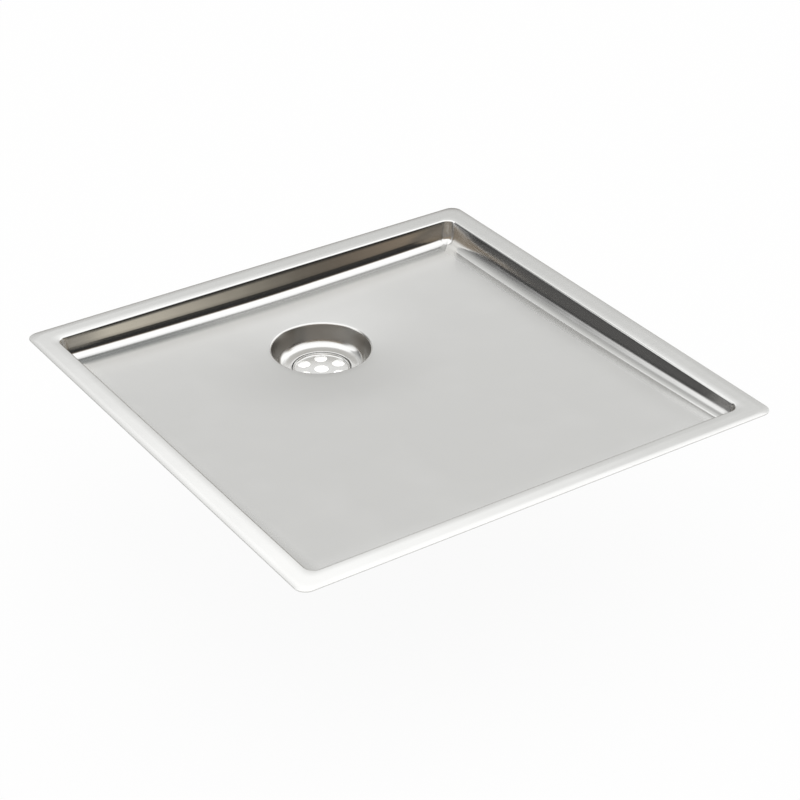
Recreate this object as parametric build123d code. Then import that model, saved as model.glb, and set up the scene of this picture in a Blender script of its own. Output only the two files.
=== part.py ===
from build123d import *
import os
from math import asin, atan, cos, pi, radians, sin, tan

# A square drainer tray for a kitchen worktop, pressed from one stainless sheet.
# It hangs by its thin flat rim in a cut-out. Its floor falls to a round recess
# near the back edge, where a lift-out strainer lies on a screwed-on waste.
# Origin: centre of the cut-out, on the worktop's upper surface.
# +X is right, +Y is the back edge with the drain, +Z is up. Millimetres.

# The sheet and the outline of the tray
sheet = 1.0
tray_side = 440.0
rim_corner_radius = 10.0
rim_edge_break = 0.25
rim_width = 19.8
bowl_corner_radius = 8.0
foot_corner_radius = 12.2
wall_draft = 0.9
rim_bend_radius = 2.3
foot_radius = 9.0

# The floor: a wide dish round the drain, with a funnel nearer to it
funnel_reach = 120.0
funnel_rim_depth = 23.7
funnel_rim_slope = 0.02
dish_radius = 7000.0
funnel_radius = 1850.0

# The drain recess and its hole
drain_inset = 115.0
recess_lip_radius = 42.9
recess_depth = 45.5
recess_wall_slope = 18.0
recess_lip_round = 2.2
recess_foot_radius = 8.5
waste_hole_radius = 25.5
hole_edge_round = 0.6

# The foam strip under the rim, butted at the back
seal_thickness = 2.0
seal_width = 7.5
seal_edge_gap = 3.0
seal_corner_radius = 7.0
seal_butt_gap = 1.0

# The lift-out strainer
strainer_gap = 0.8
strainer_sheet = 0.8
strainer_lip_height = 2.6
strainer_bend_radius = 1.4
strainer_lip_round = 0.35
centre_hole_radius = 6.1
ring_hole_radius = 5.65
ring_hole_circle = 17.3
ring_hole_count = 6

# The waste: gasket, body, slip ring, union nut and the welded ring
gasket_thickness = 2.0
gasket_width = 5.2
gasket_hole_gap = 0.2
flange_radius = 34.0
flange_thickness = 5.0
throat_radius = 22.0
throat_length = 20.0
tail_thread_radius = 23.9
tail_thread_length = 22.0
tail_bore_radius = 20.4
neck_radius = 25.2
neck_length = 9.0
relief_depth = 1.1
relief_length = 3.0
tail_chamfer = 1.2
slip_ring_thickness = 1.0
slip_ring_width = 6.6
slip_ring_gap = 0.5
ring_gap = 0.5
ring_wall = 3.0
ring_height = 7.5
nut_thread_gap = 0.3
nut_wall = 4.6
nut_shoulder = 3.6
nut_face_gap = 0.05
nut_top_gap = 1.2
nut_rib_count = 12
nut_rib_radius = 2.0
nut_edge_round = 0.8

# The cut-out, the rails welded to the walls and the spring clips that slide in them
cutout_inset = 11.5
rail_end_inset = 50.2
rail_height = 9.5
rail_depth = 4.0
rail_sheet = 0.8
rail_lip = 2.4
rail_bend_radius = 0.6
rail_drop = 1.9
clip_width = 18.0
clip_sheet = 0.6
clip_gap = 0.2
clip_fold_radius = 0.55
clip_bend_radius = 1.2
clip_lead_reach = 4.6
clip_tip_reach = 5.6
clip_tip_height = 4.1
clip_end_inset = 55.0

# The damping pads under the floor and the bonding tag on the back wall
pad_thickness = 2.0
pad_corner_radius = 8.0
front_pad_length = 150.0
front_pad_end_inset = 50.2
front_pad_inset = 30.2
side_pad_width = 106.0
side_pad_length = 130.0
side_pad_inset = 23.2
side_pad_back_inset = 41.2
tag_width = 18.0
tag_thickness = 1.5
tag_length = 36.0
tag_rail_gap = 6.0
tag_drop = 3.0
tag_hole_radius = 3.25
tag_hole_rise = 8.0
tag_corner_radius = 3.0

# Places and levels that several pieces share
bowl_side = tray_side - 2 * rim_width
bowl_half = bowl_side / 2
drain = Location((0, tray_side / 2 - drain_inset, 0))
rim_top = seal_thickness + sheet
rim_under = seal_thickness
recess_floor = rim_top - recess_depth
recess_under = recess_floor - sheet

# Spare length that carries a cutting solid clear of what it cuts
clearance_cut = 10.0
below_all = recess_under - clearance_cut
above_all = rim_top + clearance_cut


def rounded_slab(side, radius, low, thickness):
    """A square plate with round corners, from its lower face up."""
    with BuildPart() as slab:
        with BuildSketch(Plane.XY.offset(low)):
            RectangleRounded(side, side, radius)
        extrude(amount=thickness)
    return slab.part


def turned(points, rounds=()):
    """A ring or cup turned about the drain's axis, from (radius, height) points."""
    with BuildPart() as ring:
        with BuildSketch(Plane.XZ) as section:
            with BuildLine():
                Polyline(*points, close=True)
            make_face()
            for index, radius in rounds:
                corner = section.vertices().sort_by_distance(Vector(*points[index]))[0]
                fillet(corner, radius)
        revolve(axis=Axis.Z)
    return ring.part.moved(drain)


def turned_ring(inside, outside, low, top):
    """A ring of square section about the drain's axis."""
    return turned([(inside, low), (outside, low), (outside, top), (inside, top)])


def wall_half(height, offset=0.0):
    """Half the distance between opposite walls at a height, drafted inwards."""
    return bowl_half + offset - (rim_top - height) * tan(radians(wall_draft))


def bowl_block(offset):
    """The space between the walls, whose corners open out towards the foot."""
    widening = (foot_corner_radius - bowl_corner_radius) / funnel_rim_depth
    with BuildPart() as block:
        for level in (below_all, rim_top):
            side = 2 * wall_half(level, offset)
            corner_radius = bowl_corner_radius + widening * (rim_top - level)
            with BuildSketch(Plane.XY.offset(level)):
                RectangleRounded(side, side, corner_radius + offset)
        loft(ruled=True)
    return block.part


def arc_between(centre, radius, start, end):
    """A circular arc drawn from one angle to another."""
    angles = (start, (start + end) / 2, end)
    points = [(centre[0] + radius * cos(a), centre[1] + radius * sin(a)) for a in angles]
    return ThreePointArc(*points)


def pushed(corner, distance, first, second):
    """A corner of two straight sides, once both move by a distance along their normals."""
    share = distance / (1 + first.dot(second))
    return corner + (first + second) * share


def floor_section(distance):
    """Everything above the floor and in the recess, grown by a distance, as a half section."""
    tilt = atan(funnel_rim_slope)
    rim_level = rim_top - funnel_rim_depth
    dish_centre = (funnel_reach - dish_radius * sin(tilt), rim_level + dish_radius * cos(tilt))
    funnel_centre = (funnel_reach + funnel_radius * sin(tilt), rim_level - funnel_radius * cos(tilt))
    lip_tilt = asin((funnel_centre[0] - recess_lip_radius) / funnel_radius)
    wall_tilt = radians(recess_wall_slope)
    lip_level = funnel_centre[1] + funnel_radius * cos(lip_tilt)
    lip = Vector(recess_lip_radius, lip_level)
    foot = Vector(recess_lip_radius - (lip_level - recess_floor) * tan(wall_tilt), recess_floor)
    into_floor = Vector(sin(lip_tilt), -cos(lip_tilt))
    into_wall = Vector(cos(wall_tilt), -sin(wall_tilt))
    lip = pushed(lip, distance, into_floor, into_wall)
    foot = pushed(foot, distance, into_wall, Vector(0, -1))
    far_tilt = asin((tray_side - dish_centre[0]) / (dish_radius + distance))
    near_tilt = asin((funnel_centre[0] - lip.X) / (funnel_radius - distance))
    with BuildSketch(Plane.XZ) as section:
        with BuildLine():
            dish_arc = (far_tilt - pi / 2, tilt - pi / 2)
            dish = arc_between(dish_centre, dish_radius + distance, *dish_arc)
            funnel_arc = (tilt + pi / 2, near_tilt + pi / 2)
            funnel = arc_between(funnel_centre, funnel_radius - distance, *funnel_arc)
            Polyline(funnel @ 1, foot, (0, foot.Y), (0, above_all), (tray_side, above_all), dish @ 0)
        make_face()
        foot_corner = section.vertices().sort_by_distance(foot)[0]
        fillet(foot_corner, recess_foot_radius + distance)
        if distance < recess_lip_round:
            lip_corner = section.vertices().sort_by_distance(lip)[0]
            fillet(lip_corner, recess_lip_round - distance)
    return section.sketch


def pressing(distance):
    """The floor section turned about the drain."""
    with BuildPart() as body:
        add(floor_section(distance))
        revolve(axis=Axis.Z)
    return body.part.moved(drain)


def bowl_space(distance):
    """The bowl and recess as one solid, grown by a distance, with its foot rounded."""
    block = (bowl_block(distance) & pressing(distance)).solid()
    nearly_flat = 0.9
    nearly_upright = 0.2
    floor_faces = [f for f in block.faces() if f.normal_at(f.center()).Z < -nearly_flat]
    wall_faces = [f for f in block.faces() if abs(f.normal_at(f.center()).Z) < nearly_upright]
    wall_edges = [e for f in wall_faces for e in f.edges()]
    foot = [e for f in floor_faces for e in f.edges() if any(e.is_same(w) for w in wall_edges)]
    return fillet(foot, foot_radius + distance)


def edges_at(part, height):
    """The edges that lie flat at a height."""
    tolerance = 0.01
    return part.edges().filter_by_position(Axis.Z, height - tolerance, height + tolerance)


def wall_edges_at(part, height, half):
    """The loop where the walls meet a flat face of the rim, half a side from the centre."""
    reach = rim_width / 2
    loop = []
    for edge in edges_at(part, height):
        middle = edge.center()
        if abs(max(abs(middle.X), abs(middle.Y)) - half) < reach:
            loop.append(edge)
    return loop


def drill(radius, place=Location()):
    """A drill at a place from the drain's axis, long enough to pass through the whole tray."""
    return Cylinder(radius, 2 * (above_all - below_all)).moved(drain * place)


def make_tray():
    """The pressed sheet: flat rim, bent walls, falling floor and drain recess."""
    rim = rounded_slab(tray_side, rim_corner_radius, rim_under, sheet)
    rim = fillet(rim.edges().filter_by(Plane.XY), rim_edge_break)
    tray = rim + bowl_space(sheet) - bowl_space(0) - drill(waste_hole_radius)
    tray = fillet(wall_edges_at(tray, rim_top, wall_half(rim_top)), rim_bend_radius)
    outer_bend = wall_edges_at(tray, rim_under, wall_half(rim_under, sheet))
    tray = fillet(outer_bend, rim_bend_radius - sheet)
    mouth = edges_at(tray, recess_floor).filter_by(GeomType.CIRCLE).sort_by(SortBy.RADIUS)[0]
    return fillet(mouth, hole_edge_round)


def make_rim_seal():
    """A foam strip laid round under the rim, its ends butted at the back."""
    outer_side = tray_side - 2 * seal_edge_gap
    inner_side = outer_side - 2 * seal_width
    strip = rounded_slab(outer_side, seal_corner_radius + seal_width, 0, seal_thickness)
    strip -= rounded_slab(inner_side, seal_corner_radius, 0, seal_thickness)
    butt = Box(seal_butt_gap, tray_side - inner_side, tray_side).moved(Location((0, outer_side / 2, 0)))
    return strip - butt


seat_level = recess_under - gasket_thickness


def make_strainer():
    """A shallow pan with a middle hole and a ring of holes, its lip just below the recess floor."""
    outside = waste_hole_radius - strainer_gap
    top = seat_level + strainer_lip_height
    inside = outside - strainer_sheet
    floor_level = seat_level + strainer_sheet
    points = [
        (0, seat_level),
        (outside, seat_level),
        (outside, top),
        (inside, top),
        (inside, floor_level),
        (0, floor_level),
    ]
    bend = strainer_bend_radius
    rounds = ((1, bend + strainer_sheet), (4, bend), (2, strainer_lip_round), (3, strainer_lip_round))
    plate = turned(points, rounds) - drill(centre_hole_radius)
    for place in PolarLocations(ring_hole_circle, ring_hole_count):
        plate -= drill(ring_hole_radius, place)
    return plate


def make_gasket():
    """The flat rubber ring between the tray and the waste's flange."""
    inside = waste_hole_radius + gasket_hole_gap
    return turned_ring(inside, inside + gasket_width, seat_level, recess_under)


flange_under = seat_level - flange_thickness
neck_end = flange_under - neck_length
thread_top = neck_end - relief_length
tail_end = thread_top - tail_thread_length


def make_waste_body():
    """The moulded waste: wide flange, tapering throat and threaded tail."""
    points = [
        (throat_radius, seat_level),
        (flange_radius, seat_level),
        (flange_radius, flange_under),
        (neck_radius, flange_under),
        (neck_radius, neck_end),
        (tail_thread_radius - relief_depth, neck_end),
        (tail_thread_radius - relief_depth, thread_top),
        (tail_thread_radius, thread_top),
        (tail_thread_radius, tail_end + tail_chamfer),
        (tail_thread_radius - tail_chamfer, tail_end),
        (tail_bore_radius, tail_end),
        (tail_bore_radius, seat_level - throat_length),
    ]
    return turned(points, ((1, nut_edge_round), (2, nut_edge_round)))


slip_under = flange_under - slip_ring_thickness


def make_slip_ring():
    """The thin ring that lets the nut turn without dragging the flange."""
    inside = neck_radius + slip_ring_gap
    return turned_ring(inside, inside + slip_ring_width, slip_under, flange_under)


ring_inside = flange_radius + ring_gap
ring_outside = ring_inside + ring_wall


def make_outlet_ring():
    """The threaded ring welded under the recess, coped to its round foot."""
    top = recess_under + recess_foot_radius
    return turned_ring(ring_inside, ring_outside, recess_under - ring_height, top) - bowl_space(sheet)


def make_union_nut():
    """The ribbed nut whose shoulder lifts the waste against the gasket."""
    top = recess_under - nut_top_gap
    face = slip_under - nut_face_gap
    under = face - nut_shoulder
    bore = neck_radius + slip_ring_gap
    inside = ring_outside + nut_thread_gap
    outside = inside + nut_wall
    points = [(bore, face), (inside, face), (inside, top), (outside, top), (outside, under), (bore, under)]
    nut = turned(points, ((3, nut_edge_round), (4, nut_edge_round)))
    with BuildPart() as ribs:
        with BuildSketch(Plane.XY.offset(under + nut_edge_round)):
            with PolarLocations(outside, nut_rib_count):
                Circle(nut_rib_radius)
        extrude(amount=top - under - 2 * nut_edge_round)
    return nut + ribs.part.moved(drain)


rail_centre = rim_under - rail_drop - rail_height / 2
rail_length = bowl_side - 2 * rail_end_inset


def on_wall(side_turn, height):
    """The place on a wall's outer face, with its Y outwards and its Z up the slope."""
    out = wall_half(height, sheet)
    return Rotation(0, 0, side_turn) * Location((0, out, height)) * Rotation(-wall_draft, 0, 0)


def make_rail(side_turn):
    """A rolled channel with folded ends, welded by its back to the wall."""
    outwards = (Align.CENTER, Align.MIN, Align.CENTER)
    blank = Box(rail_length, rail_depth, rail_height, align=outwards)
    blank = fillet(blank.edges().filter_by(Axis.X).sort_by(Axis.Y)[-2:], rail_bend_radius)
    inside_length = rail_length - 2 * rail_sheet
    inside_height = rail_height - 2 * rail_sheet
    channel = Box(inside_length, rail_depth - 2 * rail_sheet, inside_height, align=outwards)
    slot = Box(inside_length, rail_depth, rail_height - 2 * rail_lip, align=outwards)
    rail = blank - (channel + slot).moved(Location((0, rail_sheet, 0)))
    return rail.moved(on_wall(side_turn, rail_centre))


def make_clip(side_turn, along):
    """One bent strip: a foot folded behind the rail's lips and a bowed spring leg."""
    half_sheet = clip_sheet / 2
    back = rail_sheet + clip_gap + half_sheet
    front = rail_depth - rail_sheet - clip_gap - half_sheet
    foot_top = rail_height / 2 - rail_sheet - clip_gap
    foot_low = half_sheet - foot_top
    step_level = rail_lip + clip_gap + half_sheet - rail_height / 2
    crown_level = (step_level + clip_tip_height) / 2
    crown = tray_side / 2 - cutout_inset - wall_half(rail_centre, sheet)
    with BuildPart() as clip:
        with BuildSketch(Plane.YZ):
            with BuildLine() as path:
                FilletPolyline(
                    (back, foot_top),
                    (back, foot_low),
                    (front, foot_low),
                    (front, step_level),
                    (clip_lead_reach, step_level),
                    (crown, crown_level),
                    (clip_tip_reach, clip_tip_height),
                    radius=[clip_fold_radius] * 3 + [clip_bend_radius] * 2,
                )
            trace(path.line, clip_sheet)
        extrude(amount=clip_width / 2, both=True)
    return clip.part.moved(on_wall(side_turn, rail_centre) * Location((along, 0, 0)))


def make_pad(width, length, right, back):
    """A damping pad stuck to the underside of the floor, and shaped by it."""
    layer = pressing(sheet + pad_thickness) - pressing(sheet)
    with BuildPart() as outline:
        with BuildSketch(Plane.XY.offset(below_all)):
            with Locations((right, back)):
                RectangleRounded(width, length, pad_corner_radius)
        extrude(amount=-below_all)
    return layer & outline.part


def make_bonding_tag():
    """A strip welded to the back wall, with a hole for the bonding wire's terminal."""
    with BuildPart() as tag:
        with BuildSketch(Plane.XZ) as strip:
            Rectangle(tag_width, tag_length, align=(Align.CENTER, Align.MAX))
            fillet(strip.vertices().sort_by(Axis.Y)[:2], tag_corner_radius)
            with Locations((0, tag_hole_rise - tag_length)):
                Circle(tag_hole_radius, mode=Mode.SUBTRACT)
        extrude(amount=-tag_thickness)
    right = rail_length / 2 + tag_rail_gap + tag_width / 2
    return tag.part.moved(on_wall(0, rim_under - tag_drop) * Location((right, 0, 0)))


front_pad_width = bowl_side - 2 * front_pad_end_inset
front_pad_back = front_pad_inset + front_pad_length / 2 - bowl_half
side_pad_right = bowl_half - side_pad_inset - side_pad_width / 2
side_pad_back = bowl_half - side_pad_back_inset - side_pad_length / 2
clip_place = rail_length / 2 - clip_end_inset

sides = {"back": 0, "left": 90, "front": 180, "right": 270}
clip_ends = {
    "back": ("left", "right"),
    "left": ("front", "back"),
    "front": ("right", "left"),
    "right": ("back", "front"),
}

pieces = {
    "tray": make_tray(),
    "rim_seal": make_rim_seal(),
    "strainer_plate": make_strainer(),
    "outlet_gasket": make_gasket(),
    "waste_body": make_waste_body(),
    "slip_ring": make_slip_ring(),
    "outlet_ring": make_outlet_ring(),
    "union_nut": make_union_nut(),
    "damping_pad_front": make_pad(front_pad_width, front_pad_length, 0, front_pad_back),
    "damping_pad_left": make_pad(side_pad_width, side_pad_length, -side_pad_right, side_pad_back),
    "damping_pad_right": make_pad(side_pad_width, side_pad_length, side_pad_right, side_pad_back),
    "bonding_tag": make_bonding_tag(),
}
for side, side_turn in sides.items():
    pieces[f"rail_{side}"] = make_rail(side_turn)
    for end, along in zip(clip_ends[side], (-clip_place, clip_place)):
        pieces[f"clip_{side}_{end}"] = make_clip(side_turn, along)

os.makedirs("parts", exist_ok=True)
for name, piece in pieces.items():
    export_step(piece, f"parts/{name}.step")
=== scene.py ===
import math

import bpy
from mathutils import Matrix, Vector


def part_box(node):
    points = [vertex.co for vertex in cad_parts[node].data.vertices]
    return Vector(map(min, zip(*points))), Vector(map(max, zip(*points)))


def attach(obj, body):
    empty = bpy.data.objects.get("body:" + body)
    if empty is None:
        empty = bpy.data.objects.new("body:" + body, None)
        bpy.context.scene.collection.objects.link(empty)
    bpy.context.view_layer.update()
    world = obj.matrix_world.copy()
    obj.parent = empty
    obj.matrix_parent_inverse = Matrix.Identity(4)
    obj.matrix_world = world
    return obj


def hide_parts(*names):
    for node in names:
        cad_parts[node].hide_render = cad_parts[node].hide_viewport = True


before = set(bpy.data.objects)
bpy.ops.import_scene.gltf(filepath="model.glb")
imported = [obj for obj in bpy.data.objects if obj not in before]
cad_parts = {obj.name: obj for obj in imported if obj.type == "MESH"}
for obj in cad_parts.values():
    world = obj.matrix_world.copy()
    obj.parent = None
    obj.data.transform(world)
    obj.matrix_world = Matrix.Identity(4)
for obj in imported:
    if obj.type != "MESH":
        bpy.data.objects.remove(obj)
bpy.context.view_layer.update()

scene = bpy.context.scene

# The camera looks down on the tray from beyond its near left corner, through
# a long lens, with the tray's middle near the middle of the frame.
view_azimuth = math.radians(-33.875)
view_elevation = math.radians(31.269)
view_target = Vector((-0.016749, -0.040852, 0.003))
view_distance = 1.773707
view_back = Vector(
    (
        math.sin(view_azimuth) * math.cos(view_elevation),
        -math.cos(view_azimuth) * math.cos(view_elevation),
        math.sin(view_elevation),
    )
)
lens = bpy.data.cameras.new("camera")
lens.lens = 100
lens.sensor_width = 36
camera = bpy.data.objects.new("camera", lens)
camera.location = view_target + view_back * view_distance
camera.rotation_euler = (-view_back).to_track_quat("-Z", "Y").to_euler()
scene.collection.objects.link(camera)
scene.camera = camera
scene.view_settings.view_transform = "Standard"


class Wire:
    """An output in a node tree, so that node maths reads as Python expressions."""

    def __init__(self, tree, socket=None):
        self.tree = tree
        self.socket = socket

    def node(self, kind, settings=None, values=None, output=0):
        """Adds a node: its settings first, then the values or links of its sockets."""
        made = self.tree.nodes.new(kind)
        for name, value in (settings or {}).items():
            if name == "stops":
                ramp = made.color_ramp
                while len(ramp.elements) < len(value):
                    ramp.elements.new(1)
                for element, (place, colour) in zip(ramp.elements, value):
                    element.position = place
                    element.color = (*colour, 1)
            else:
                setattr(made, name, value)
        for name, value in (values or {}).items():
            if isinstance(value, Wire):
                self.tree.links.new(value.socket, made.inputs[name])
            else:
                made.inputs[name].default_value = value
        return Wire(self.tree, made.outputs[output] if made.outputs else None)

    def sister(self, output):
        """Another output of this wire's node."""
        return Wire(self.tree, self.socket.node.outputs[output])

    def join(self, *pieces):
        """Several geometries as one."""
        made = self.tree.nodes.new("GeometryNodeJoinGeometry")
        for piece in pieces:
            self.tree.links.new(piece.socket, made.inputs[0])
        return Wire(self.tree, made.outputs[0])

    def maths(self, operation, *values):
        """A Math node whose first value is this wire."""
        return self.node("ShaderNodeMath", {"operation": operation}, dict(enumerate((self, *values))))

    def vector(self, operation, *values):
        """A Vector Math node whose first vector is this wire."""
        return self.node("ShaderNodeVectorMath", {"operation": operation}, dict(enumerate((self, *values))))

    def __add__(self, other):
        return self.maths("ADD", other)

    def __sub__(self, other):
        return self.maths("SUBTRACT", other)

    def __mul__(self, other):
        return self.maths("MULTIPLY", other)

    def __truediv__(self, other):
        return self.maths("DIVIDE", other)

    def __radd__(self, other):
        return self + other

    def __rmul__(self, other):
        return self * other

    def __rsub__(self, other):
        return self.node("ShaderNodeMath", {"operation": "SUBTRACT"}, {0: other, 1: self})

    def __rtruediv__(self, other):
        return self.node("ShaderNodeMath", {"operation": "DIVIDE"}, {0: other, 1: self})

    def parts(self):
        """The three numbers of a vector."""
        split = self.tree.nodes.new("ShaderNodeSeparateXYZ")
        self.tree.links.new(self.socket, split.inputs[0])
        return [Wire(self.tree, socket) for socket in split.outputs]

    def rise(self, low, high, bottom=0.0, top=1.0, smooth=True):
        """Goes from one value to another as this one goes from low to high."""
        settings = {"interpolation_type": "SMOOTHSTEP" if smooth else "LINEAR"}
        values = {"Value": self, "From Min": low, "From Max": high, "To Min": bottom, "To Max": top}
        return self.node("ShaderNodeMapRange", settings, values)

    def blend(self, first, second):
        """One colour where this is 0, the other where it is 1."""
        first, second = (c if isinstance(c, Wire) else (*c, 1) for c in (first, second))
        values = {"Factor": self, "A": first, "B": second}
        return self.node("ShaderNodeMix", {"data_type": "RGBA"}, values, output="Result")


# The studio is plain and pale, and the camera sees it white. The metal mirrors
# soft white panels overhead, behind, in front and at the left, a pale card at
# the back, and between them the dim corner and the warm room with its table.
world = bpy.data.worlds.new("studio")
world.use_nodes = True
world.node_tree.nodes.clear()
sky = Wire(world.node_tree)
right, away, up = sky.node("ShaderNodeTexCoord", output="Generated").parts()
# In degrees: the azimuth runs from straight behind the tray towards its right
azimuth = right.maths("ARCTAN2", away) * (180 / math.pi)
elevation = up.maths("ARCSINE") * (180 / math.pi)


def between(low, full, level, end):
    """A panel's share of the azimuths: it fades in at its left end and out at its right."""
    return azimuth.rise(low, full) * (1 - azimuth.rise(level, end))


# The white panels
top_panel = (elevation - between(-60, -20, 5, 25) * 5).rise(42, 47)
front_panel = between(95, 130, 165, 176) * elevation.rise(30, 39)
slanted = azimuth - (elevation - 18).maths("MAXIMUM", 0) * 0.5
left_panel = azimuth.rise(-84, -62) * (1 - slanted.rise(-47.5, -42.5)) * elevation.rise(10, 17)
back_panel = between(12, 27, 75, 90) * (elevation - azimuth * 0.2).rise(22.8, 28.5)
panels = back_panel.maths("MAXIMUM", top_panel).maths("MAXIMUM", front_panel).maths("MAXIMUM", left_panel)
panel_white = (1.40, 1.40, 1.40)

# The card at the back, which brightens towards the right
card = between(-20, 8, 95, 115) * elevation.rise(11, 22)
card_tone = azimuth.rise(46, 66).blend((0.77, 0.77, 0.76), (1.40, 1.40, 1.39))

# The corner of the room at the left, lit from above
corner_foot, corner_unlit, corner_lit = (0.11, 0.11, 0.11), (0.05, 0.05, 0.05), (0.62, 0.62, 0.61)
lit_corner = elevation.rise(10, 48).blend(corner_unlit, corner_lit)
corner_tone = elevation.rise(7, 9).blend(corner_foot, lit_corner)

# The warm room in front. Low down stands a table with pale and dark things on it.
pale_things = (0.80, 0.75, 0.64)
table_stops = [
    (0.00, (0.30, 0.26, 0.20)),
    (0.14, (0.36, 0.29, 0.22)),
    (0.26, (0.05, 0.045, 0.04)),
    (0.36, (0.40, 0.37, 0.31)),
    (0.48, pale_things),
    (0.68, pale_things),
    (0.85, (0.14, 0.14, 0.13)),
]
along_table = {"Fac": azimuth.rise(147, 168, smooth=False)}
table = sky.node("ShaderNodeValToRGB", {"stops": table_stops}, along_table, "Color")
room_dim, room_dark, room_warm = (0.30, 0.28, 0.26), (0.03, 0.03, 0.03), (0.34, 0.27, 0.19)
low_room = between(115, 135, 164, 178).blend(room_dim, room_dark)
whole_room = elevation.rise(20, 40).blend(low_room, room_warm)
room_tone = elevation.rise(7, 10).blend(table, whole_room)

dim_glow = between(-95, -80, 0, 22).blend(room_tone, corner_tone)
glow = panels.blend(card.blend(dim_glow, card_tone), panel_white)
soft_light = sky.node("ShaderNodeBackground", values={"Color": glow})
plain_white = sky.node("ShaderNodeBackground", values={"Color": (1, 1, 1, 1)})
seen = sky.node("ShaderNodeLightPath", output="Is Camera Ray")
through = sky.node("ShaderNodeLightPath", output="Is Transmission Ray")
lights = {0: seen.maths("MAXIMUM", through), 1: soft_light, 2: plain_white}
backdrop = sky.node("ShaderNodeMixShader", values=lights)
sky.node("ShaderNodeOutputWorld", values={"Surface": backdrop})
scene.world = world

floor_level = -0.16
floor_half = 4.0
paper_white = 0.94
mesh = bpy.data.meshes.new("studio_floor")
corners = [(x * floor_half, y * floor_half, floor_level) for x, y in ((-1, -1), (1, -1), (1, 1), (-1, 1))]
mesh.from_pydata(corners, [], [range(4)])
floor = bpy.data.objects.new("studio_floor", mesh)
scene.collection.objects.link(floor)
paper = bpy.data.materials.new("studio_paper")
paper.use_nodes = True
paper.node_tree.nodes.clear()
sheet = Wire(paper.node_tree)
matt = sheet.node("ShaderNodeBsdfDiffuse", values={"Color": (0.9, 0.9, 0.9, 1)})
white = sheet.node("ShaderNodeEmission", values={"Color": (1, 1, 1, 1)})
seen = sheet.node("ShaderNodeLightPath", output="Is Camera Ray")
glossy = sheet.node("ShaderNodeLightPath", output="Is Glossy Ray")
through = sheet.node("ShaderNodeLightPath", output="Is Transmission Ray")
plain = seen.maths("MAXIMUM", glossy).maths("MAXIMUM", through) * paper_white
surface = sheet.node("ShaderNodeMixShader", values={0: plain, 1: matt, 2: white})
sheet.node("ShaderNodeOutputMaterial", values={"Surface": surface})
mesh.materials.append(paper)


# The tray is pressed from one sheet of satin stainless steel. Its rim lies flat,
# its walls are drafted, and its floor is a dish about the drain that steepens
# into a funnel, so that every point of the floor falls towards the recess.
tray_low, tray_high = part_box("tray")
strainer_low, strainer_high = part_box("strainer_plate")
sheet_thickness = 0.001
tray_sizes = {
    "Thickness": sheet_thickness,
    "Side": tray_high.x - tray_low.x,
    "Rim Level": tray_high.z,
    "Rim Width": 0.0198,
    "Rim Corner": 0.010,
    "Bend Radius": 0.0017,
    "Draft": math.tan(math.radians(0.9)),
    "Bowl Corner": 0.008,
    "Foot Corner": 0.0122,
    "Front Foot": 0.009,
    "Back Foot": 0.0098,
    "Drain Place": (strainer_low.y + strainer_high.y) / 2,
    "Funnel Reach": 0.120,
    "Funnel Depth": 0.0237,
    "Funnel Slope": 0.02,
    "Funnel Radius": 1.85,
    "Dish Radius": 7.0,
    "Recess Radius": 0.0429,
    "Recess Level": tray_low.z + sheet_thickness,
    "Recess Slope": math.radians(18),
    "Lip Round": 0.0022,
    "Recess Foot": 0.0085,
    "Hole Radius": 0.0255,
}
stations = {
    "rim": 3,
    "bend": 8,
    "wall": 4,
    "foot": 14,
    "floor": 36,
    "lip": 6,
    "recess wall": 3,
    "recess foot": 10,
    "seat": 3,
}
side_steps = 56
corner_steps = 14


def geometry_tree(name, sizes):
    """A Geometry Nodes tree with an input for each size, and the wires that come from them."""
    tree = bpy.data.node_groups.new(name, "GeometryNodeTree")
    tree.interface.new_socket("Geometry", in_out="INPUT", socket_type="NodeSocketGeometry")
    for label, value in sizes.items():
        kind = "NodeSocketInt" if isinstance(value, int) else "NodeSocketFloat"
        tree.interface.new_socket(label, in_out="INPUT", socket_type=kind)
    tree.interface.new_socket("Geometry", in_out="OUTPUT", socket_type="NodeSocketGeometry")
    given = tree.nodes.new("NodeGroupInput")
    return Wire(tree), [Wire(tree, given.outputs[label]) for label in ("Geometry", *sizes)]


def combined(wire, x, y, z):
    """Three numbers as a vector."""
    return wire.node("ShaderNodeCombineXYZ", values={0: x, 1: y, 2: z})


def close_tree(mesh, materials):
    """Ends a tree: real mesh, shaded smooth, each material on its faces or on all."""
    mesh = mesh.node("GeometryNodeRealizeInstances", values={"Geometry": mesh})
    mesh = mesh.node("GeometryNodeSetShadeSmooth", values={"Geometry": mesh})
    for material, faces in materials:
        dressed = {"Geometry": mesh, "Selection": faces, "Material": material}
        mesh = mesh.node("GeometryNodeSetMaterial", values=dressed)
    mesh.node("NodeGroupOutput", values={"Geometry": mesh})


def grow(name, tree, sizes, modifiers=(), start=None):
    """Runs a tree, then any modifiers, and keeps what they make as a plain mesh."""
    piece = bpy.data.objects.new(name, start or bpy.data.meshes.new(name))
    scene.collection.objects.link(piece)
    shape = piece.modifiers.new("shape", "NODES")
    shape.node_group = tree
    for socket in tree.interface.items_tree:
        if socket.in_out == "INPUT" and socket.name in sizes:
            shape[socket.identifier] = sizes[socket.name]
    for kind, settings in modifiers:
        modifier = piece.modifiers.new(kind.lower(), kind)
        for label, value in settings.items():
            setattr(modifier, label, value)
    graph = bpy.context.evaluated_depsgraph_get()
    made = bpy.data.meshes.new_from_object(
        piece.evaluated_get(graph), preserve_all_data_layers=True, depsgraph=graph
    )
    piece.modifiers.clear()
    piece.data = made
    made.name = name
    while None in made.materials[:]:
        made.materials.pop(index=made.materials[:].index(None))
    return piece


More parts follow.
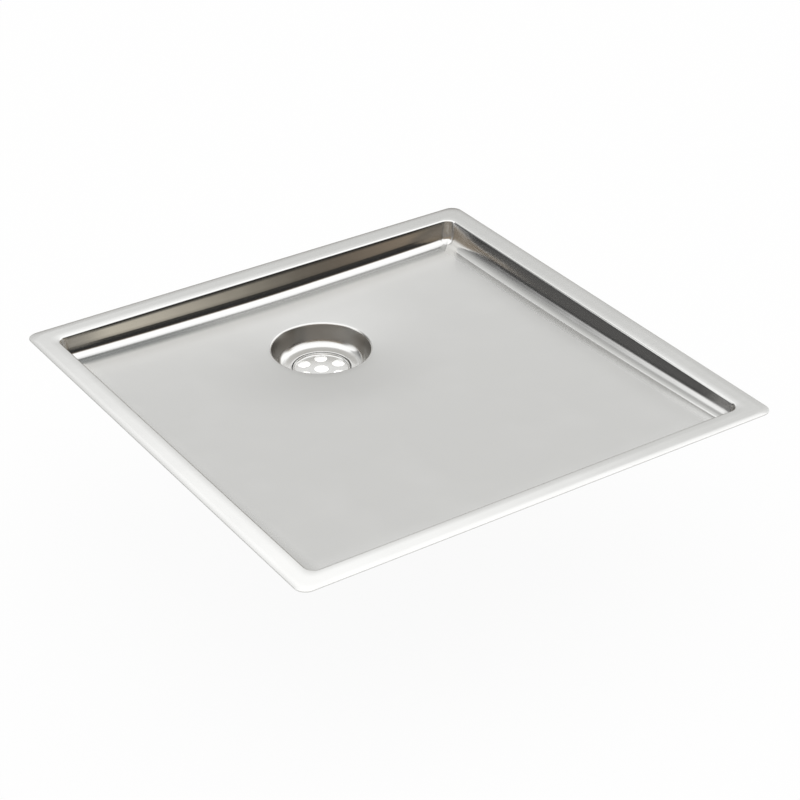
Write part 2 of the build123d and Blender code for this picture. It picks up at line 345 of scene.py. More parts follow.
base, given = geometry_tree("pressed_tray", tray_sizes)
_, thickness, side, rim_level, rim_width, rim_corner, bend, draft, bowl_corner, foot_corner = given[:10]
front_foot, back_foot, drain_y, reach, funnel_depth, funnel_slope, funnel, dish = given[10:18]
recess, recess_level, recess_slope, lip, recess_foot, hole = given[18:]

# One grid is wrapped into the tray: across it go the stations from rim to
# drain hole, and along it go the four sides, each with the corner that ends it.
station_count = sum(stations.values())
round_count = 4 * (side_steps + corner_steps)
grid_sizes = {"Size X": 1.0, "Size Y": 1.0, "Vertices X": station_count + 1, "Vertices Y": round_count + 1}
grid = base.node("GeometryNodeMeshGrid", values=grid_sizes)
across, around, _ = base.node("GeometryNodeInputPosition").parts()
station = (across + 0.5) * station_count
turn = (around + 0.5) * 4
share, ends = {}, {}
passed = 0
for label, count in stations.items():
    share[label] = station.rise(passed, passed + count, smooth=False)
    passed += count
    ends[label] = passed

quarter = turn.maths("FLOOR")
straight_share = side_steps / (side_steps + corner_steps)
slide = (turn - quarter).rise(0, straight_share, -1, 1, smooth=False)
swing = (turn - quarter).rise(straight_share, 1, 0, math.pi / 2, smooth=False)
swing_cos, swing_sin = swing.maths("COSINE"), swing.maths("SINE")
facing = quarter * (math.pi / 2)
facing_cos, facing_sin = facing.maths("COSINE"), facing.maths("SINE")
out_x = (facing + swing).maths("COSINE")
out_y = (facing + swing).maths("SINE")


def on_square(half, corner):
    """The place on a rounded square with this half side and corner radius."""
    out = half - corner + corner * swing_cos
    along = (half - corner) * slide + corner * swing_sin
    return out * facing_cos - along * facing_sin, out * facing_sin + along * facing_cos


def wall_square(depth, out):
    """Half side and corner radius of the walls at a depth under the rim, moved out by so much."""
    return side * 0.5 - rim_width - draft * depth + out, bowl_corner + widening * depth + out


def floor_at(distance):
    """The floor's level and its slope, at a distance from the drain's axis."""
    beyond = distance - reach
    outer, inner = beyond.maths("MAXIMUM", 0), beyond.maths("MINIMUM", 0)
    level = rim_level - funnel_depth + funnel_slope * beyond
    level = level + outer * outer / dish * 0.5 - inner * inner / funnel * 0.5
    return level, funnel_slope + outer / dish - inner / funnel


# The walls lean outwards by their draft. In the corners, which widen as they
# go down, they lean the other way.
widening = (foot_corner - bowl_corner) / funnel_depth
lean = (draft + widening) * (swing_cos + swing_sin) - widening
lean_cos = (1 + lean * lean).maths("INVERSE_SQRT")
lean_sin = lean * lean_cos

# The foot is widest along the back, where the tray is deepest
back_share = (facing_sin + slide * facing_cos) * 0.5 + 0.5
foot = front_foot + (back_foot - front_foot) * back_share

# The foot is a ball rolled between wall and floor. Its centre's depth is
# found in a few steps, each from the floor's level under the last.
foot_depth = funnel_depth * 0.6
for _ in range(3):
    half, corner = wall_square(foot_depth, foot * lean_cos * -1)
    centre_x, centre_y = on_square(half, corner.maths("MAXIMUM", 0.001))
    ahead = centre_y - drain_y
    distance = (centre_x * centre_x + ahead * ahead).maths("SQRT")
    level, slope = floor_at(distance)
    steep = (1 + slope * slope).maths("SQRT")
    foot_depth = rim_level + foot * lean_sin - level - foot * steep
away_x, away_y = centre_x / distance, ahead / distance

# Rim, bend and wall are nested rounded squares that shrink and sink
bend_depth = bend * (1 - lean_sin)
bend_half, bend_corner = wall_square(bend_depth, bend * lean_cos)
sweep = (math.pi / 2 - lean.maths("ARCTANGENT")) * share["bend"]
sunk = (foot_depth - bend_depth) * share["wall"]
swept_in = bend * sweep.maths("SINE")
half = side * 0.5 + (bend_half - side * 0.5) * share["rim"] - swept_in - draft * sunk
corner = rim_corner + (bend_corner - rim_corner) * share["rim"] - swept_in + widening * sunk
x, y = on_square(half, corner)
z = rim_level - bend * (1 - sweep.maths("COSINE")) - sunk

# The foot turns from the wall's normal to the floor's
wall_normal = combined(base, out_x * lean_cos * -1, out_y * lean_cos * -1, lean_sin)
floor_normal = combined(base, away_x * slope / steep * -1, away_y * slope / steep * -1, 1 / steep)
turning = {"Factor": share["foot"], "A": wall_normal, "B": floor_normal}
turning = base.node("ShaderNodeMix", {"data_type": "VECTOR"}, turning, output="Result")
turned_x, turned_y, turned_z = turning.vector("NORMALIZE").vector("SUBTRACT", wall_normal).parts()
off_x = (centre_x - x + out_x * lean_cos * foot) * share["foot"]
off_y = (centre_y - y + out_y * lean_cos * foot) * share["foot"]
x, y, z = x + off_x - foot * turned_x, y + off_y - foot * turned_y, z - foot * turned_z

# From the foot, floor, lip, recess and seat run straight in towards the drain
lip_level, lip_slope = floor_at(recess)
tilt = lip_slope.maths("ARCTANGENT")
steepest = math.pi / 2 - recess_slope
slope_cos, slope_sin = recess_slope.maths("COSINE"), recess_slope.maths("SINE")
lip_reach = lip * ((steepest - tilt) * 0.5).maths("TANGENT")
foot_reach = recess_foot * (steepest * 0.5).maths("TANGENT")
recess_drop = lip_level - recess_level
wall_run = (recess_drop / slope_cos - lip_reach - foot_reach) * share["recess wall"]
seat_edge = recess - recess_drop * recess_slope.maths("TANGENT") - foot_reach
floor_start = distance + foot * slope / steep
floor_end = recess + lip_reach * tilt.maths("COSINE")
crossed = (floor_start - floor_end) * share["floor"]
lip_angle = tilt + (steepest - tilt) * share["lip"]
foot_angle = steepest * (1 - share["recess foot"])
inward = crossed + lip * (lip_angle.maths("SINE") - tilt.maths("SINE")) + wall_run * slope_sin
inward = inward + recess_foot * (slope_cos - foot_angle.maths("SINE")) + (seat_edge - hole) * share["seat"]
start_level, _ = floor_at(floor_start)
level_here, _ = floor_at(floor_start - crossed)
fall = start_level - level_here + lip * (tilt.maths("COSINE") - lip_angle.maths("COSINE"))
fall = fall + wall_run * slope_cos + recess_foot * (foot_angle.maths("COSINE") - slope_sin)

# The lines that run in from the corners would crowd together at the drain, so
# they turn a little about its axis as they cross the floor.
bearing_out = centre_x * facing_cos + ahead * facing_sin
bearing_along = ahead * facing_cos - centre_x * facing_sin
bearing = facing + bearing_along.maths("ARCTAN2", bearing_out)
first_bearing, evenness = -0.85, 0.4
even = turn * (math.pi / 2) + first_bearing
spread = bearing + (even - bearing) * share["floor"].rise(0, 1) * evenness
ring = floor_start - inward
x = x + spread.maths("COSINE") * ring - away_x * floor_start
y = y + spread.maths("SINE") * ring - away_y * floor_start
place = combined(base, x, y, z - fall)

marked = {"Geometry": grid, "Name": "station", "Value": station}
marked = base.node("GeometryNodeStoreNamedAttribute", {"data_type": "FLOAT"}, marked)
wrapped = base.node("GeometryNodeSetPosition", values={"Geometry": marked, "Position": place})
joined = base.node("GeometryNodeMergeByDistance", values={"Geometry": wrapped, "Distance": 1e-6})
upright = base.node("GeometryNodeFlipFaces", values={"Mesh": joined})


def new_finish(name):
    """An empty node material, and the wire that its nodes start from."""
    made = bpy.data.materials.new(name)
    made.use_nodes = True
    made.node_tree.nodes.clear()
    return made, Wire(made.node_tree)


def close_finish(shade, values):
    """Ends a material with its shader."""
    shader = shade.node("ShaderNodeBsdfPrincipled", values=values)
    shade.node("ShaderNodeOutputMaterial", values={"Surface": shader})


satin, _ = new_finish("tray_satin")
underside, _ = new_finish("tray_underside")

lower = {"Mesh": joined, "Offset Scale": thickness, "Individual": False}
lower = base.node("GeometryNodeExtrudeMesh", {"mode": "FACES"}, lower)
below = lower.sister("Top")
whole = base.join(upright, lower)
closed = base.node("GeometryNodeMergeByDistance", values={"Geometry": whole, "Distance": 1e-6})

# The pressed sheet's edges are broken: round the rim, and more at the hole
sharp = base.node("GeometryNodeInputMeshEdgeAngle", output="Unsigned Angle").maths("GREATER_THAN", 1)
_, _, edge_level = base.node("GeometryNodeInputPosition").parts()
at_hole = edge_level.maths("LESS_THAN", recess_level * 0.5)
hole_top = edge_level.maths("GREATER_THAN", recess_level - thickness * 0.5)
rim_break, hole_break, hole_top_break = 0.42, 0.25, 1.0
softness = rim_break + at_hole * (hole_break - rim_break)
softness = sharp * (softness + at_hole * hole_top * (hole_top_break - hole_break))
weighed = {"Geometry": closed, "Name": "bevel_weight_edge", "Value": softness}
weighed = base.node("GeometryNodeStoreNamedAttribute", {"data_type": "FLOAT", "domain": "EDGE"}, weighed)
close_tree(weighed, [(satin, True), (underside, below)])
soften = {"width": 0.0006, "segments": 3, "limit_method": "WEIGHT"}
tray = grow("pressed_tray", base.tree, tray_sizes, [("BEVEL", soften)])
tray.data.set_sharp_from_angle(angle=math.radians(50))
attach(tray, "sink")
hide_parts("tray")

# The top is satin: coarsest on the floor, finer on the rim and in the recess, and
# nearly a mirror on the walls, where the pressing has drawn the sheet. Faint
# lines run along the rim. The zones follow the stations that the tree stores.
shade = Wire(satin.node_tree)
spot = shade.node("ShaderNodeTexCoord", output="Object")
station = shade.node("ShaderNodeAttribute", {"attribute_name": "station"}, output="Fac")
on_rim = 1 - station.rise(ends["rim"] - 0.2, ends["rim"] + 0.4)
on_floor = station.rise(ends["foot"] - 3, ends["foot"] + 4)
on_floor = on_floor * (1 - station.rise(ends["floor"] - 0.5, ends["floor"] + 2))
on_cone = station.rise(ends["floor"] + 2, ends["lip"])
on_cone = on_cone * (1 - station.rise(ends["recess wall"], ends["recess wall"] + 5))
on_seat = station.rise(ends["recess wall"] + 2, ends["recess foot"])


def grain(shade, spot, spacing, stretch=(1, 1, 1), detail=2.0):
    """Noise whose patches are so far apart, drawn out along the axes where stretch is small."""
    spot = spot.vector("MULTIPLY", stretch)
    values = {"Vector": spot, "Scale": 1 / spacing, "Detail": detail}
    return shade.node("ShaderNodeTexNoise", values=values, output="Fac")


def raised(shade, height, rise, under=None):
    """The normal over a height that goes from 0 to 1, for a rise in metres."""
    values = {"Height": height, "Distance": rise}
    if under:
        values["Normal"] = under
    return shade.node("ShaderNodeBump", values=values, output="Normal")


def from_drain(spot):
    """The distance from the drain's axis, and the height."""
    x, y, z = spot.parts()
    ahead = y - tray_sizes["Drain Place"]
    return (x * x + ahead * ahead).maths("SQRT"), z


# The walls of a pressed tray aren't quite flat: they bow outwards between the
# corners, the side walls a little more, and so their normals lean upwards.
front_bow, side_bow, far_bow, cone_bow, corner_calm = 0.34, 0.08, 0.08, 0.06, 0.6
x, y, _ = spot.parts()
across, along = x.maths("ABSOLUTE"), y.maths("ABSOLUTE")
nearer, farther = across.maths("MINIMUM", along), across.maths("MAXIMUM", along)
sideways = across.maths("GREATER_THAN", along)
past_wall = (station - (ends["wall"] + 0.6)) * (1 - sideways * 0.3)
on_wall = station.rise(ends["bend"] - 2.3, ends["bend"], smooth=False)
on_wall = on_wall * (1 - past_wall.rise(0, 3.8, smooth=False))
bow = front_bow + (side_bow + y.rise(0.11, 0.185) * far_bow) * sideways
bow = bow * (1 - nearer.rise(0.190, 0.198) * corner_calm) * on_wall + on_cone * cone_bow

# Beside the side walls the floor rises a little towards its foot
wall_place = 0.2
foot_rise = 0.08
from_wall = wall_place - farther
beside = from_wall.rise(0.006, 0.009) * (1 - from_wall.rise(0.009, 0.022)) * sideways
inwards = (0 - x).maths("SIGN")
upright_normal = shade.node("ShaderNodeNewGeometry", output="Normal")
moved = combined(shade, beside * foot_rise * inwards, 0, bow)
bowed = upright_normal.vector("ADD", moved).vector("NORMALIZE")

# Roughness: that of the polished walls, what each zone adds, and what the grain does
wall_rough, rim_rough, floor_rough = 0.11, 0.05, 0.22
cone_rough, seat_rough, corner_rough = 0.20, 0.09, 0.12
wave_spacing, fine_spacing, line_spacing = 0.045, 0.0006, 0.0016
wave = grain(shade, spot, wave_spacing, detail=1.0)
fine = grain(shade, spot, fine_spacing)
lines = grain(shade, spot, line_spacing, (0.02, 1, 1), 3.0)
near_corner = nearer.rise(0.150, 0.185) * on_wall
rough = wall_rough + on_rim * rim_rough + on_floor * floor_rough + on_cone * cone_rough
rough = rough + on_seat * seat_rough + near_corner * corner_rough
rough = rough + (fine - 0.5) * 0.05 + (lines - 0.5) * on_rim * 0.05
bright = 0.5 + (wave - 0.5) * 0.2 + (lines - 0.5) * on_rim * 0.15 - on_floor * 0.5
pale = bright.blend((0.61, 0.61, 0.60), (0.85, 0.85, 0.84))
pale = on_wall.blend(pale, (0.70, 0.69, 0.67))
# The recess's cone is painted much darker than the sheet: painted shade that dims the reflections in its
# walls
pale = on_cone.blend(pale, (0.45, 0.44, 0.42))

# A dark line is painted along the foot's edge at the front and back, stronger
# at the left: painted shade that stands in for the dark wall mirrored there
left_painted_shade, right_painted_shade = 0.82, 0.48
painted_foot_shade = from_wall.rise(0.0040, 0.0086) * (1 - from_wall.rise(0.0115, 0.020))
painted_foot_shade = painted_foot_shade * (1 - sideways) * (left_painted_shade - (left_painted_shade - right_painted_shade) * x.rise(-0.12, -0.02))
pale = painted_foot_shade.blend(pale, (0.15, 0.16, 0.16))
wave_rise = 0.0001
close_finish(
    shade,
    {
        "Base Color": pale,
        "Metallic": 1.0,
        "Roughness": rough,
        "Normal": raised(shade, wave + fine * 0.004, wave_rise, bowed),
    },
)

# Underneath it keeps the dull mill finish, tinted by heat round the outlet's weld
shade = Wire(underside.node_tree)
spot = shade.node("ShaderNodeTexCoord", output="Object")
weld_radius, weld_level, heat_reach = 0.0378, -0.0405, 0.012
from_axis, height = from_drain(spot)
out, up = from_axis - weld_radius, height - weld_level
from_weld = (out * out + up * up).maths("SQRT")
drawn = grain(shade, spot, 0.002, (0.05, 1, 1), 3.0)
patches = grain(shade, spot, 0.03)
heated = (from_weld + (patches - 0.5) * 0.003) / heat_reach
heat_stops = [
    (0.00, (0.20, 0.19, 0.20)),
    (0.25, (0.30, 0.36, 0.55)),
    (0.45, (0.48, 0.33, 0.42)),
    (0.65, (0.66, 0.52, 0.30)),
    (1.00, (0.62, 0.62, 0.61)),
]
tint = shade.node("ShaderNodeValToRGB", {"stops": heat_stops}, {"Fac": heated}, "Color")
close_finish(
    shade,
    {
        "Base Color": (patches * 0.25).blend(tint, (0.54, 0.54, 0.53)),
        "Metallic": 1.0,
        "Roughness": 0.36 + (drawn - 0.5) * 0.20,
        "Normal": raised(shade, drawn, 0.00001),
    },
)


# Four channels of rolled stainless strip hang the clips. Each is welded by its
# back to a wall, with a row of spot welds that show inside it as flat nubs,
# and so is the bonding tag, the strip for the earthing wire beside the back one.
def dress(material, *names):
    """Gives CAD nodes their finish."""
    for name in names:
        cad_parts[name].material_slots[0].material = material


rail_low, rail_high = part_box("rail_back")
tag_low, tag_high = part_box("bonding_tag")
tag_spots, tag_spacing, tag_edge = 2, 0.009, 0.0075
spot_sizes = {
    "Count": 5,
    "Spacing": 0.058,
    "Radius": 0.0026,
    "Rise": 0.00012,
    "Lean": -math.radians(0.9),
    "Level": (rail_low.z + rail_high.z) / 2,
    "Wall": tray_sizes["Side"] / 2 - tray_sizes["Rim Width"] + sheet_thickness,
    "Rim Level": tray_sizes["Rim Level"],
    "Rail Sheet": 0.0008,
    "Tag Sheet": 0.0015,
    "Tag Place": (tag_low.x + tag_high.x) / 2,
    "Tag Level": tag_high.z - tag_edge,
}
base, given = geometry_tree("weld_spots", spot_sizes)
_, count, spacing, radius, rise, lean, level, wall, rim, rail_sheet, tag_sheet, tag_place, tag_level = given

ball = base.node("GeometryNodeMeshUVSphere", values={"Segments": 20, "Rings": 8, "Radius": 1.0})
flat = {"Geometry": ball, "Scale": combined(base, radius, rise, radius)}
nub = base.node("GeometryNodeTransform", values=flat)


def row(along, out, height, count, spacing):
    """A row of nubs on the back wall's outer face, centred at a place along it."""
    start = combined(base, (count - 1) * spacing * -0.5, out, 0)
    line = {"Count": count, "Start Location": start, "Offset": combined(base, spacing, 0, 0)}
    line = base.node("GeometryNodeMeshLine", values=line)
    nubs = base.node("GeometryNodeInstanceOnPoints", values={"Points": line, "Instance": nub})
    wall_here = wall - (rim - height) * tray_sizes["Draft"]
    turned = {"Geometry": nubs, "Translation": combined(base, along, wall_here, height)}
    turned["Rotation"] = combined(base, lean, 0, 0)
    return base.node("GeometryNodeTransform", values=turned)


rail_row = row(0, rail_sheet, level, count, spacing)
rows = []
for quarter in range(4):
    turned = {"Geometry": rail_row, "Rotation": (0, 0, quarter * math.pi / 2)}
    rows.append(base.node("GeometryNodeTransform", values=turned))
tag_row = row(tag_place, tag_sheet, tag_level, tag_spots, tag_spacing)
nub_steel, shade = new_finish("weld_nub")
close_tree(base.join(*rows, tag_row), [(nub_steel, True)])
weld_spots = grow("weld_spots", base.tree, spot_sizes)
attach(weld_spots, "sink")
spot = shade.node("ShaderNodeTexCoord", output="Object")
fine = grain(shade, spot, 0.0008)
close_finish(
    shade,
    {
        "Base Color": fine.blend((0.30, 0.28, 0.27), (0.52, 0.49, 0.44)),
        "Metallic": 1.0,
        "Roughness": 0.35 + fine * 0.25,
        "Normal": raised(shade, fine, 0.00003),
    },
)

rail_steel, shade = new_finish("stainless_rail")
spot = shade.node("ShaderNodeTexCoord", output="Object")
x, y, _ = spot.parts()
# Rolled lines run along each rail, so they turn with the side of the tray
along_x = y.maths("ABSOLUTE").maths("GREATER_THAN", x.maths("ABSOLUTE"))
lines_x = grain(shade, spot, 0.0012, (0.02, 1, 1), 3.0)
lines_y = grain(shade, spot, 0.0012, (1, 0.02, 1), 3.0)
lines = lines_y + (lines_x - lines_y) * along_x
run = y + (x - y) * along_x
apart = spot_sizes["Spacing"]
row_end = (spot_sizes["Count"] - 1) / 2 * apart + 0.012
from_spot = ((run / apart + 0.5).maths("FRACT") - 0.5).maths("ABSOLUTE") * apart
inside_row = 1 - run.maths("ABSOLUTE").maths("GREATER_THAN", row_end)
heat = (1 - from_spot.rise(0.002, 0.006)) * inside_row
close_finish(
    shade,
    {
        "Base Color": (heat * 0.6 + lines * 0.2).blend((0.64, 0.64, 0.635), (0.50, 0.42, 0.30)),
        "Metallic": 1.0,
        "Roughness": 0.28 + (lines - 0.5) * 0.25,
        "Normal": raised(shade, lines, 0.00001),
    },
)
dress(rail_steel, "rail_front", "rail_back", "rail_left", "rail_right")

strip_steel, shade = new_finish("stainless_strip")
spot = shade.node("ShaderNodeTexCoord", output="Object")
lines = grain(shade, spot, 0.001, (1, 1, 0.02), 3.0)
scuffs = grain(shade, spot, 0.006)
close_finish(
    shade,
    {
        "Base Color": scuffs.blend((0.56, 0.56, 0.55), (0.68, 0.68, 0.67)),
        "Metallic": 1.0,
        "Roughness": 0.32 + (lines - 0.5) * 0.25,
        "Normal": raised(shade, lines, 0.00001),
    },
)
dress(strip_steel, "bonding_tag")


# The outlet ring is turned from stainless tube with a thread outside, coped to
# the recess's round foot and welded to it all round with a rippled bead.
ring_low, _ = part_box("outlet_ring")
pitch = 0.002309
pitch_step = pitch / 16
thread_depth = 0.001479
thread_sizes = {
    "Drain Place": tray_sizes["Drain Place"],
    "Points": 0,
    "Around": 144,
    "Pitch": pitch,
    "Depth": thread_depth,
    "Thread Radius": 0.0,
    "Thread Low": 0.0,
    "Thread High": 0.0,
    "Fade": 0.0015,
}


def thread_tree(name, material):
    """A turned part: a profile swept round the drain's axis, with a right-hand thread cut in one face."""
    base, given = geometry_tree(name, thread_sizes)
    profile, drain_y, points, around, pitch, depth, radius, low, high, fade = given
    grid = {"Size X": 1.0, "Size Y": 1.0, "Vertices X": points, "Vertices Y": around + 1}
    grid = base.node("GeometryNodeMeshGrid", values=grid)
    across, turn, _ = base.node("GeometryNodeInputPosition").parts()
    index = ((across + 0.5) * (points - 1)).maths("ROUND")
    here = base.node("GeometryNodeInputPosition")
    point = {"Geometry": profile, "Value": here, "Index": index}
    point = base.node("GeometryNodeSampleIndex", {"data_type": "FLOAT_VECTOR"}, point)
    out, _, height = point.parts()
    angle = (turn + 0.5) * (2 * math.pi)
    phase = (height / pitch - (turn + 0.5)) * (2 * math.pi)
    groove = phase.maths("COSINE") * 0.5 + 0.5
    cut = height.rise(low, low + fade) * (1 - height.rise(high - fade, high))
    on_face = (out - radius).maths("ABSOLUTE").maths("LESS_THAN", 1e-5)
    out = out - depth * groove * cut * on_face
    place = combined(base, out * angle.maths("COSINE"), out * angle.maths("SINE") + drain_y, height)
    swept = base.node("GeometryNodeSetPosition", values={"Geometry": grid, "Position": place})
    joined = base.node("GeometryNodeMergeByDistance", values={"Geometry": swept, "Distance": 1e-6})
    outward = base.node("GeometryNodeFlipFaces", values={"Mesh": joined})
    close_tree(outward, [(material, True)])
    return base.tree


def turned_part(name, tree, corners, thread_face, bevel=None, depth=thread_depth):
    """A turned part from the corners of its section, anticlockwise, one of its faces threaded."""
    section = []
    for (out, height), (next_out, next_height) in zip(corners, corners[1:] + corners[:1]):
        section.append((out, height))
        if (out, next_out) == (thread_face, thread_face):
            pieces = round(abs(next_height - height) / pitch_step)
            rises = [height + (next_height - height) * k / pieces for k in range(1, pieces)]
            section += [(out, rise) for rise in rises]
            low, high = sorted((height, next_height))
    section.append(corners[0])
    start = bpy.data.meshes.new(name + "_section")
    start.from_pydata([(out, 0, height) for out, height in section], [], [])
    sizes = dict(thread_sizes)
    sizes.update({"Points": len(section), "Depth": depth})
    sizes.update({"Thread Radius": thread_face, "Thread Low": low, "Thread High": high})
    soften = {"width": bevel, "segments": 3, "angle_limit": math.radians(50)}
    part = grow(name, tree, sizes, [("BEVEL", soften)] if bevel else [], start)
    part.data.set_sharp_from_angle(angle=math.radians(40))
    return part


turned_steel, shade = new_finish("stainless_turned")
threaded_steel = thread_tree("threaded_steel", turned_steel)
ring_inside, ring_outside = 0.0345, 0.0375
foot_axis, foot_level, foot_outer = 0.0302, -0.034, 0.0095
under_foot = []
for share_out in (0.0, 0.33, 0.67, 1.0):
    out = ring_outside + (ring_inside - ring_outside) * share_out
    drop = math.sqrt(foot_outer**2 - (out - foot_axis) ** 2)
    under_foot.append((out, foot_level - drop + 0.0001))
corners = [(ring_inside, ring_low.z), (ring_outside, ring_low.z), *under_foot]
outlet_ring = turned_part("outlet_ring_threaded", threaded_steel, corners, ring_outside)
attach(outlet_ring, "sink")
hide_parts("outlet_ring")
spot = shade.node("ShaderNodeTexCoord", output="Object")
marks = grain(shade, spot, 0.0005, (0.1, 0.1, 1), 2.0)
close_finish(
    shade,
    {
        "Base Color": marks.blend((0.60, 0.60, 0.59), (0.70, 0.70, 0.69)),
        "Metallic": 1.0,
        "Roughness": 0.22 + (marks - 0.5) * 0.15,
        "Normal": raised(shade, marks, 0.00001),
    },
)

bead_sizes = {
    "Drain Place": tray_sizes["Drain Place"],
    "Path Radius": 0.0381,
    "Path Level": weld_level,
    "Bead Radius": 0.0010,
    "Ripple Count": 150.0,
    "Ripple Rise": 0.12,
    "Steps": 900,
}
base, given = geometry_tree("weld_bead", bead_sizes)
_, drain_place, path_radius, path_level, bead_radius, ripples, ripple_rise, steps = given
path = base.node("GeometryNodeCurvePrimitiveCircle", values={"Resolution": steps, "Radius": path_radius})
moved = {"Geometry": path, "Translation": combined(base, 0, drain_place, path_level)}
path = base.node("GeometryNodeTransform", values=moved)
section = base.node("GeometryNodeCurvePrimitiveCircle", values={"Resolution": 10, "Radius": bead_radius})
along = base.node("GeometryNodeSplineParameter", output="Factor")
ripple = (along * ripples).maths("FRACT")
swell = 1 + ripple_rise * (ripple * (1 - ripple) * 4).maths("SQRT")
bead = {"Curve": path, "Profile Curve": section, "Scale": swell}
bead = base.node("GeometryNodeCurveToMesh", values=bead)
bead_steel, shade = new_finish("weld_bead")
close_tree(bead, [(bead_steel, True)])
weld_bead = grow("weld_bead", base.tree, bead_sizes)
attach(weld_bead, "sink")
spot = shade.node("ShaderNodeTexCoord", output="Object")
crust = grain(shade, spot, 0.0015)
straw = grain(shade, spot, 0.012)
tint = straw.rise(0.4, 0.6).blend((0.34, 0.33, 0.36), (0.50, 0.42, 0.30))
close_finish(
    shade,
    {
        "Base Color": (crust * 0.4).blend(tint, (0.62, 0.60, 0.57)),
        "Metallic": 1.0,
        "Roughness": 0.25 + crust * 0.3,
        "Normal": raised(shade, crust, 0.00004),
    },
)


# Three damping pads of filled bitumen sheet are stuck under the floor. Their
# free face is embossed with a small hammered grain.
damping, shade = new_finish("damping_sheet")
spot = shade.node("ShaderNodeTexCoord", output="Object")
cells = {"Vector": spot, "Scale": 1 / 0.0022, "Randomness": 0.7}
cells = shade.node("ShaderNodeTexVoronoi", {"feature": "SMOOTH_F1"}, cells, "Distance")
dust = grain(shade, spot, 0.008, detail=5.0)
close_finish(
    shade,
    {
        "Base Color": (dust * 0.6 + cells * 0.3).blend((0.030, 0.031, 0.034), (0.085, 0.085, 0.088)),
        "Roughness": 0.62 + dust * 0.25,
        "Normal": raised(shade, 1 - cells, 0.0004),
    },
)
dress(damping, "damping_pad_front", "damping_pad_left", "damping_pad_right")


# The rim lies on a strip of closed-cell foam, stuck on all round and butted at
# the back. Its cut faces show the cells.
foam, shade = new_finish("seal_foam")
spot = shade.node("ShaderNodeTexCoord", output="Object")
cells = shade.node("ShaderNodeTexVoronoi", values={"Vector": spot, "Scale": 1 / 0.0006}, output="Distance")
pores = 1 - cells.rise(0.15, 0.45)
cloud = grain(shade, spot, 0.01)
close_finish(
    shade,
    {
        "Base Color": (pores * 0.7 + cloud * 0.2).blend((0.105, 0.105, 0.11), (0.035, 0.035, 0.038)),
        "Roughness": 0.85 + cloud * 0.12,
        "Normal": raised(shade, 1 - pores, 0.00015),
    },
)
dress(foam, "rim_seal")


# Eight clips of spring strip hook into the rails, two to a side, and hold the
# tray down in the cut-out. The strip is bright rolled and a little scuffed.
spring, shade = new_finish("spring_steel")
spot = shade.node("ShaderNodeTexCoord", output="Object")
lines = grain(shade, spot, 0.0009, (1, 1, 0.04), 3.0)
scuffs = grain(shade, spot, 0.004, detail=4.0)
close_finish(
    shade,
    {
        "Base Color": scuffs.blend((0.52, 0.52, 0.515), (0.66, 0.655, 0.64)),
        "Metallic": 1.0,
        "Roughness": 0.20 + (lines - 0.5) * 0.2 + scuffs.rise(0.55, 0.7) * 0.15,
        "Normal": raised(shade, lines, 0.000008),
    },
)
clips = [f"clip_{side}_{end}" for side in ("front", "back") for end in ("left", "right")]
clips += [f"clip_{side}_{end}" for side in ("left", "right") for end in ("front", "back")]
dress(spring, *clips)


# A flat ring of black rubber seals the waste's flange to the recess. It is cut
# from sheet, matt, with a faint grey bloom.
rubber, shade = new_finish("gasket_rubber")
spot = shade.node("ShaderNodeTexCoord", output="Object")
bloom = grain(shade, spot, 0.004, detail=5.0)
close_finish(
    shade,
    {
        "Base Color": (bloom * 0.5).blend((0.020, 0.020, 0.021), (0.060, 0.060, 0.058)),
        "Roughness": 0.50 + bloom * 0.25,
        "Normal": raised(shade, grain(shade, spot, 0.0005), 0.00002),
    },
)
dress(rubber, "outlet_gasket")


# The waste is moulded in white polypropylene: a wide flange under the gasket,
# a throat that narrows, and a tail with a rolled thread for the trap.
white_plastic, shade = new_finish("white_plastic")
threaded_plastic = thread_tree("threaded_plastic", white_plastic)
waste_low, waste_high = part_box("waste_body")
seat = waste_high.z
flange_under = seat - 0.005
neck_end = flange_under - 0.009
thread_top = neck_end - 0.003
bore, mouth, neck, flange = 0.0204, 0.022, 0.0252, 0.034
throat_end = seat - 0.020
thread_radius = 0.0239
relief_radius = thread_radius - 0.0011
corners = [
    (bore, waste_low.z),
    (relief_radius, waste_low.z),
    (thread_radius, waste_low.z + 0.0012),
    (thread_radius, thread_top),
    (relief_radius, thread_top),
    (relief_radius, neck_end),
    (neck, neck_end),
    (neck, flange_under),
    (flange, flange_under),
    (flange, seat),
    (mouth, seat),
    (bore, throat_end),
]
waste = turned_part("waste_threaded", threaded_plastic, corners, thread_radius, bevel=0.0004)
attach(waste, "sink")
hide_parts("waste_body")


def moulded(shade, colour, gloss):
    """White moulding: faint flow marks, a fine spark grain, light spreading in the wall."""
    spot = shade.node("ShaderNodeTexCoord", output="Object")
    flow = grain(shade, spot, 0.02, (1, 1, 0.4))
    fine = grain(shade, spot, 0.0004)
    darker = tuple(part * 0.94 for part in colour)
    values = {
        "Base Color": flow.blend(darker, colour),
        "Roughness": gloss + (fine - 0.5) * 0.12,
        "Normal": raised(shade, fine, 0.000015),
        "Subsurface Weight": 0.6,
        "Subsurface Radius": (1.0, 1.0, 0.95),
        "Subsurface Scale": 0.004,
    }
    return spot, values


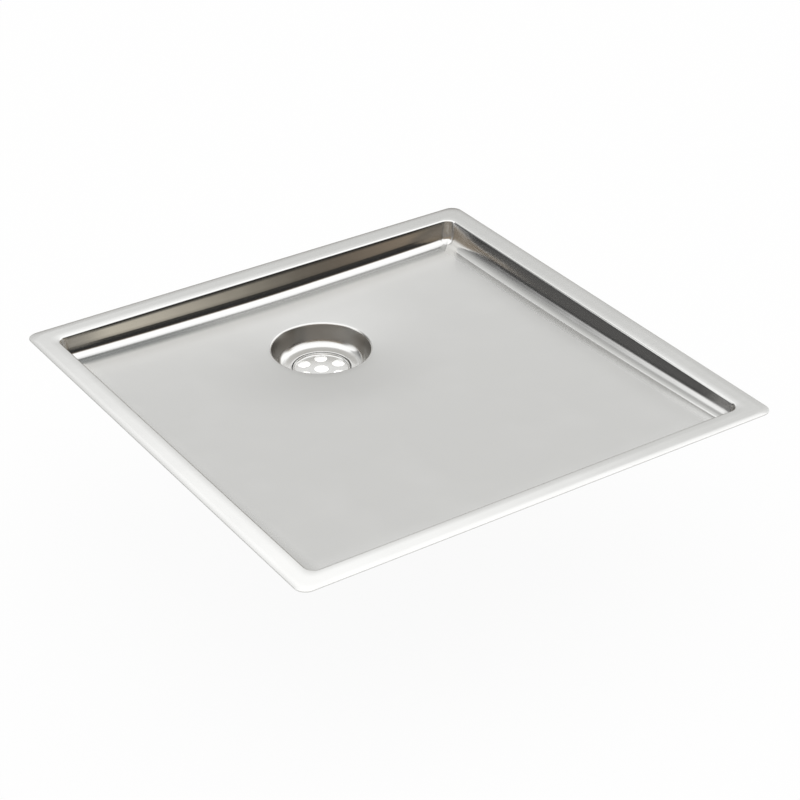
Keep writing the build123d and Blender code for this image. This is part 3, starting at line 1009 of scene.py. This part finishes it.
spot, values = moulded(shade, (0.90, 0.90, 0.89), 0.32)
# The inside of the throat glows: painted light, an emission that stands in for daylight let through the
# thin wall
from_axis, height = from_drain(spot)
painted_glow_in_throat = (1 - from_axis.rise(mouth - 0.0005, mouth + 0.0005)) * height.rise(-0.080, -0.070)
values["Emission Color"] = painted_glow_in_throat.blend((0, 0, 0), (1, 1, 1))
values["Emission Strength"] = 0.5
close_finish(shade, values)


# A thin slip ring of natural nylon lets the union nut turn without dragging
# the flange. The nut is moulded like the waste, with twelve ribs for the hand
# and a thread inside that runs on the outlet ring's.
slip_plastic, shade = new_finish("slip_plastic")
_, values = moulded(shade, (0.84, 0.83, 0.78), 0.28)
close_finish(shade, values)
dress(slip_plastic, "slip_ring")

nut_plastic, shade = new_finish("nut_plastic")
_, values = moulded(shade, (0.86, 0.86, 0.855), 0.38)
close_finish(shade, values)
dress(nut_plastic, "union_nut")
nut_low, nut_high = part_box("union_nut")
threaded_nut = thread_tree("threaded_nut", nut_plastic)
nut_play, nut_lining = 0.00028, 0.0006
nut_bore = ring_outside + nut_play
bore_back = nut_bore + nut_lining
bore_low, bore_high = nut_low.z + 0.0037, nut_high.z - 0.0002
corners = [(nut_bore, bore_low), (bore_back, bore_low), (bore_back, bore_high), (nut_bore, bore_high)]
nut_thread = turned_part("nut_thread", threaded_nut, corners, nut_bore, depth=0.0013)
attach(nut_thread, "nut")


# The strainer is a small pan pressed from thinner sheet, punched with a middle
# hole and six round it. It lies on the waste's flange, satin like the tray,
# with the faint rings of its polishing.
strainer_steel, shade = new_finish("strainer_satin")
spot = shade.node("ShaderNodeTexCoord", output="Object")
from_axis, height = from_drain(spot)
rings = grain(shade, combined(shade, from_axis, 0, height * 0.3), 0.0003, detail=3.0)
close_finish(
    shade,
    {
        "Base Color": rings.blend((0.69, 0.69, 0.68), (0.76, 0.76, 0.75)),
        "Metallic": 1.0,
        "Roughness": 0.24 + (rings - 0.5) * 0.12,
        "Normal": raised(shade, rings, 0.000005),
    },
)
dress(strainer_steel, "strainer_plate")
